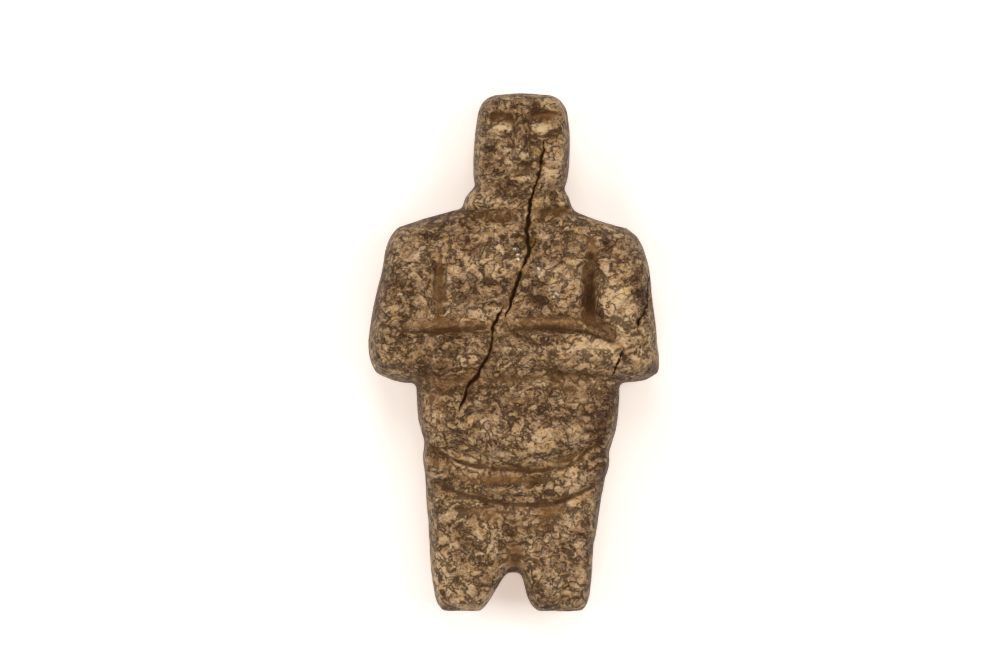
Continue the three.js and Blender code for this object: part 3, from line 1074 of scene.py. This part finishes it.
@dataclass(frozen=True)
class Mottle:
    """The granite's mottled grain: patches of crystals, tints, veins, pepper and salt."""

    squeezed: Triple = (0.94, 1.08, 1.0)
    flow: Waves = Waves(0.09, 2.0)
    flow_push: float = 7.0 * MM
    ruffle: Waves = Waves(0.6, 2.0)
    ruffle_push: float = 1.5 * MM
    crystals: float = 0.45
    flakes: float = 1.0
    patches: Waves = Waves(0.2, 5.0, 0.68)
    broad: Waves = Waves(0.07, 1.0)
    fine: Waves = Waves(0.95, 4.0, 0.8)
    stops: tuple[float, ...] = (0.96, 1.09, 1.22, 1.36, 1.63, 1.97)
    kept_plain: Edge = Edge(0.75, 1.45)
    tints: tuple[tuple[str, Waves, float], ...] = (
        ("Rust", Waves(0.3, 3.0, 0.6), 0.3),
        ("Ash", Waves(0.22, 3.0, 0.6), 0.4),
        ("Ochre", Waves(0.25, 3.0, 0.6), 0.45),
    )
    tinted: Edge = Edge(0.5, 0.64)
    veins: tuple[Vein, Vein] = (
        Vein(Waves(0.1, 3.0, 0.55), Edge(0.01, 0.055), Waves(0.15, 1.0), Edge(0.36, 0.5)),
        Vein(Waves(0.17, 2.0, 0.55), Edge(0.012, 0.07), Waves(0.2, 2.0), Edge(0.4, 0.54)),
    )
    vein_share: float = 0.82
    crowds: Waves = Waves(0.3, 2.0)
    crowded: Edge = Edge(0.42, 0.62)
    crowd_share: float = 0.2
    pepper_from: float = 0.88
    pepper_size: Edge = Edge(0.25, 0.6)
    pepper_share: float = 0.7
    salt_below: float = 0.12
    salt_size: Edge = Edge(0.15, 0.45)
    salt_share: float = 0.5

    def group(self) -> NodeTree:
        """Build the grain.

        Returns:
            A group that gives a colour and a height for a place.
        """
        bench = Bench(new_group("granite mottle", GRAIN_TONES, (Mark.PALE,), "Height"))
        given = bench.given
        origin, pale = given["Place"], given[Mark.PALE.value]
        squeezed = bench.vector("MULTIPLY", origin, self.squeezed)
        flowing = bench.warp(squeezed, self.flow, self.flow_push)
        place = bench.warp(flowing, self.ruffle, self.ruffle_push)
        crystal, _ = bench.cells(place, self.crystals)
        flake, flake_far = bench.cells(place, self.flakes)
        patches = bench.noise(place, self.patches)
        broad = bench.noise(origin, self.broad)
        fine = bench.noise(origin, self.fine)
        level = bench.weigh(
            (crystal, 0.2), (patches, 1.15), (broad, 0.5), (fine, 0.9), (pale, 0.24),
        )
        colours = (given[name] for name in GRAIN_TONES)
        tone = bench.ramp(level, tuple(zip(self.stops, colours)))
        plain = bench.rest(bench.span(pale, self.kept_plain))
        for name, waves, share in self.tints:
            patch = bench.span(bench.noise(flowing, waves), self.tinted)
            tint = bench.times(bench.times(patch, plain), share)
            tone = bench.blend(tint, tone, given[name], "COLOR")
        lines = [
            bench.times(bench.crease(place, vein.path, vein.line),
                        bench.span(bench.noise(origin, vein.broken), vein.gaps))
            for vein in self.veins
        ]
        vein = bench.times(bench.math("MAXIMUM", *lines), plain)
        tone = bench.blend(bench.times(vein, self.vein_share), tone, given["Deep"])
        crowd = bench.span(bench.noise(place, self.crowds), self.crowded)
        crowd = bench.times(crowd, self.crowd_share)
        chosen = bench.math("GREATER_THAN", bench.math("ADD", flake, crowd), self.pepper_from)
        pepper = bench.times(chosen, bench.rest(bench.span(flake_far, self.pepper_size)))
        pepper = bench.times(pepper, plain)
        tone = bench.blend(bench.times(pepper, self.pepper_share), tone, given["Speck"])
        salt = bench.times(bench.math("LESS_THAN", flake, self.salt_below),
                           bench.rest(bench.span(flake_far, self.salt_size)))
        tone = bench.blend(bench.times(salt, self.salt_share), tone, given["Cream"])
        height = bench.weigh(
            (patches, 0.8), (crystal, 0.15), (fine, 0.9), (vein, -0.7), (pepper, -0.3),
        )
        bench.give(Color=tone, Height=height)
        return bench.group


@dataclass(frozen=True)
class PatinaShadeAndGlints:
    """The browning of the hollows, painted shade in the creases and deep grooves, the dark of the
    cracks and painted glints.
    """

    ragged: Waves = Waves(0.3, 4.0, 0.7)
    wide: Edge = Edge(0.82, 1.2, 0.5)
    wide_share: float = 0.6
    laid: Edge = Edge(0.75, 1.25, 0.9)
    golden_share: float = 0.62
    near: Edge = Edge(0.84, 1.14, 0.4)
    near_share: float = 0.65
    drawn: Edge = Edge(0.68, 1.4, 1.0)
    sunk: Edge = Edge(1.25, 2.0, 0.8)
    dark_share: float = 0.8
    crack_rim: Edge = Edge(0.2, 0.5, 0.3)
    crack_floor: Edge = Edge(0.45, 0.9, 0.3)
    glint_spots: Waves = Waves(1.4, 3.0, 0.6)
    shining: Edge = Edge(0.86, 0.96)
    roughness: float = 0.5

    def group(self) -> NodeTree:
        """Build the ageing.

        Returns:
            A group that gives a colour and a roughness.
        """
        # The group paints shade in the hollows and glints as well as patina
        bench = Bench(new_group("patina", ("Color", *PATINA_SHADE_GLINT_TONES), PATINA_SHADE_GLINT_MARKS, "Roughness"))
        given = bench.given
        near, wide, crack, brown, shade, glint = (
            given[mark.value]
            for mark in (Mark.NEAR, Mark.WIDE, Mark.CRACK, Mark.BROWN, Mark.SHADE, Mark.GLINT)
        )
        ragged = bench.noise(given["Place"], self.ragged)
        hollow = bench.times(bench.fray(wide, ragged, self.wide), self.wide_share)
        golden = bench.math("MAXIMUM", hollow, bench.fray(brown, ragged, self.laid))
        tone = bench.blend(bench.times(golden, self.golden_share), given["Color"], given["Patina"])
        # Painted shade: near hollows and the shade mask darken towards the shadow colour, and the
        # deepest to black
        close = bench.times(bench.fray(near, ragged, self.near), self.near_share)
        close = bench.math("MAXIMUM", close, bench.fray(shade, ragged, self.drawn))
        sunk = bench.fray(shade, ragged, self.sunk)
        for share, name in (
            (bench.times(close, self.dark_share), "Shadow"),
            (bench.times(sunk, self.dark_share), "Black"),
            (bench.fray(crack, ragged, self.crack_rim), "Shadow"),
            (bench.fray(crack, ragged, self.crack_floor), "Black"),
        ):
            tone = bench.blend(share, tone, given[name])
        # Painted glints: white where the glint mask and noise run high, a little less rough there
        glint_noise = bench.noise(given["Place"], self.glint_spots)
        shining = bench.span(bench.weigh((glint, 0.45), (glint_noise, 1.0)), self.shining)
        tone = bench.blend(shining, tone, given["Mica"])
        rough = bench.weigh((golden, -0.04), (close, 0.1), (shining, -0.2))
        bench.give(Color=tone, Roughness=bench.math("ADD", rough, self.roughness))
        return bench.group


@dataclass(frozen=True)
class GraniteFinish:
    """Old polished granite: tan grains, dark brown veins, black specks and ochre patina."""

    deep: Colour = srgb(55, 31, 10)
    dark: Colour = srgb(86, 58, 33)
    brown: Colour = srgb(118, 87, 58)
    tan: Colour = srgb(158, 125, 90)
    cream: Colour = srgb(204, 171, 129)
    light: Colour = srgb(226, 194, 144)
    rust: Colour = srgb(134, 96, 64)
    ash: Colour = srgb(112, 95, 78)
    ochre: Colour = srgb(149, 110, 54)
    speck: Colour = srgb(40, 27, 17)
    patina: Colour = srgb(132, 92, 48)
    shadow: Colour = srgb(76, 48, 21)
    black: Colour = srgb(52, 31, 12)
    # The painted highlight's colour, for the glints
    mica: Colour = srgb(238, 232, 222)
    specular: float = 0.14
    bump_strength: float = 0.9
    bump_height: float = 0.6 * MM

    def material(self) -> Material:
        """Build the granite's material.

        Returns:
            The material.
        """
        material, output = new_material("granite")
        tree = material.node_tree
        surface = tree.nodes.new("ShaderNodeBsdfPrincipled")
        surface.inputs["Specular IOR Level"].default_value = self.specular
        place = tree.nodes.new("ShaderNodeTexCoord").outputs["Object"]
        grain = self.use(tree, Mottle().group(), GRAIN_TONES, (Mark.PALE,))
        aged_and_shaded = self.use(tree, PatinaShadeAndGlints().group(), PATINA_SHADE_GLINT_TONES, PATINA_SHADE_GLINT_MARKS)
        bump = tree.nodes.new("ShaderNodeBump")
        bump.inputs["Strength"].default_value = self.bump_strength
        bump.inputs["Distance"].default_value = self.bump_height
        for source, taker in (
            (place, grain.inputs["Place"]),
            (place, aged_and_shaded.inputs["Place"]),
            (grain.outputs["Color"], aged_and_shaded.inputs["Color"]),
            (aged_and_shaded.outputs["Color"], surface.inputs["Base Color"]),
            (aged_and_shaded.outputs["Roughness"], surface.inputs["Roughness"]),
            (grain.outputs["Height"], bump.inputs["Height"]),
            (bump.outputs["Normal"], surface.inputs["Normal"]),
            (surface.outputs[0], output.inputs["Surface"]),
        ):
            tree.links.new(source, taker)
        return material

    def use(
        self, tree: NodeTree, group: NodeTree, tones: tuple[str, ...],
        marks: tuple[Mark, ...],
    ) -> Node:
        """Place a group in the material, with its colours and masks.

        Args:
            tree: The material's nodes.
            group: The group.
            tones: The names of the colours that the group takes.
            marks: The masks that it reads from the stone's points.

        Returns:
            The group's node.
        """
        node = tree.nodes.new("ShaderNodeGroup")
        node.node_tree = group
        for name in tones:
            node.inputs[name].default_value = getattr(self, name.lower())
        for mark in marks:
            reader = tree.nodes.new("ShaderNodeAttribute")
            reader.attribute_name = mark.value
            tree.links.new(reader.outputs["Fac"], node.inputs[mark.value])
        return node


@dataclass(frozen=True)
class Lamp:
    """One square soft light that points at the figure, in metres and watts."""

    name: str
    place: Triple
    power: float
    size: float = 0.9

    def hang(self) -> None:
        """Hang the light in its place."""
        bpy.ops.object.light_add(type="AREA", location=self.place)
        light = bpy.context.active_object
        light.name = self.name
        light.data.size = self.size
        light.data.energy = self.power
        light.rotation_euler = (-Vector(self.place)).to_track_quat("-Z", "Y").to_euler()


@dataclass(frozen=True)
class Studio:
    """A white table under soft light, and a camera straight above the figure."""

    lens: float = 100.0
    sensor: float = 36.0
    table: float = 6.0
    bounced: Colour = (0.92, 0.92, 0.92, 1.0)
    seen: Colour = (0.85, 0.93, 0.93, 1.0)
    glow: Colour = (0.42, 0.27, 0.20, 1.0)
    air: Colour = (1.0, 0.99, 0.975, 1.0)
    air_light: float = 0.21
    lamps: tuple[Lamp, ...] = (
        Lamp("right", (0.95, 0.1, 1.35), 10.0),
        Lamp("left", (-1.15, 0.1, 1.0), 8.6),
        Lamp("head", (0.0, 1.05, 1.35), 9.0),
        Lamp("feet", (0.0, -0.95, 1.35), 6.6),
    )

    def build(self) -> None:
        """Set up the floor, the lights and the camera."""
        self.floor()
        self.world()
        for lamp in self.lamps:
            lamp.hang()
        self.camera()

    def floor(self) -> None:
        """Lay the white table top, which glows a little so that shadows on it stay faint."""
        bpy.ops.mesh.primitive_plane_add(size=self.table, location=(0, 0, 0))
        floor = bpy.context.active_object
        floor.name = "table_top"
        material, output = new_material("white table")
        tree = material.node_tree
        bounced, seen, glow, both, path, choice = (
            tree.nodes.new(kind) for kind in (
                "ShaderNodeBsdfDiffuse", "ShaderNodeBsdfDiffuse", "ShaderNodeEmission",
                "ShaderNodeAddShader", "ShaderNodeLightPath", "ShaderNodeMixShader",
            )
        )
        for shader, colour in ((bounced, self.bounced), (seen, self.seen), (glow, self.glow)):
            shader.inputs["Color"].default_value = colour
        for source, taker in (
            (seen.outputs[0], both.inputs[0]),
            (glow.outputs[0], both.inputs[1]),
            (path.outputs["Is Camera Ray"], choice.inputs[0]),
            (bounced.outputs[0], choice.inputs[1]),
            (both.outputs[0], choice.inputs[2]),
            (choice.outputs[0], output.inputs["Surface"]),
        ):
            tree.links.new(source, taker)
        floor.data.materials.append(material)

    def world(self) -> None:
        """Fill the room with even white light."""
        world = bpy.data.worlds.new("studio")
        world.use_nodes = True
        back = world.node_tree.nodes["Background"]
        back.inputs["Color"].default_value = self.air
        back.inputs["Strength"].default_value = self.air_light
        bpy.context.scene.world = world
        bpy.context.scene.view_settings.view_transform = "Standard"

    def camera(self) -> None:
        """Hang the camera straight above, with the crown at the top of the picture."""
        data = bpy.data.cameras.new("camera")
        data.lens = self.lens
        data.sensor_width = self.sensor
        camera = bpy.data.objects.new("camera", data)
        camera.location = Vector(CAMERA_PLACE) * MM
        bpy.context.scene.collection.objects.link(camera)
        bpy.context.scene.camera = camera


def main() -> None:
    """Build the figure and the studio."""
    logging.basicConfig(level=logging.INFO, format="%(name)s: %(message)s")
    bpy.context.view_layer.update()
    Studio().build()
    stone = CarvedStone()
    piece = stone.build()
    piece.data.materials.clear()
    piece.data.materials.append(GraniteFinish().material())
    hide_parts(stone.node)
    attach(piece, "root")
    log.info("%s: %d faces", piece.name, len(piece.data.polygons))


if __name__ == "__main__":
    main()
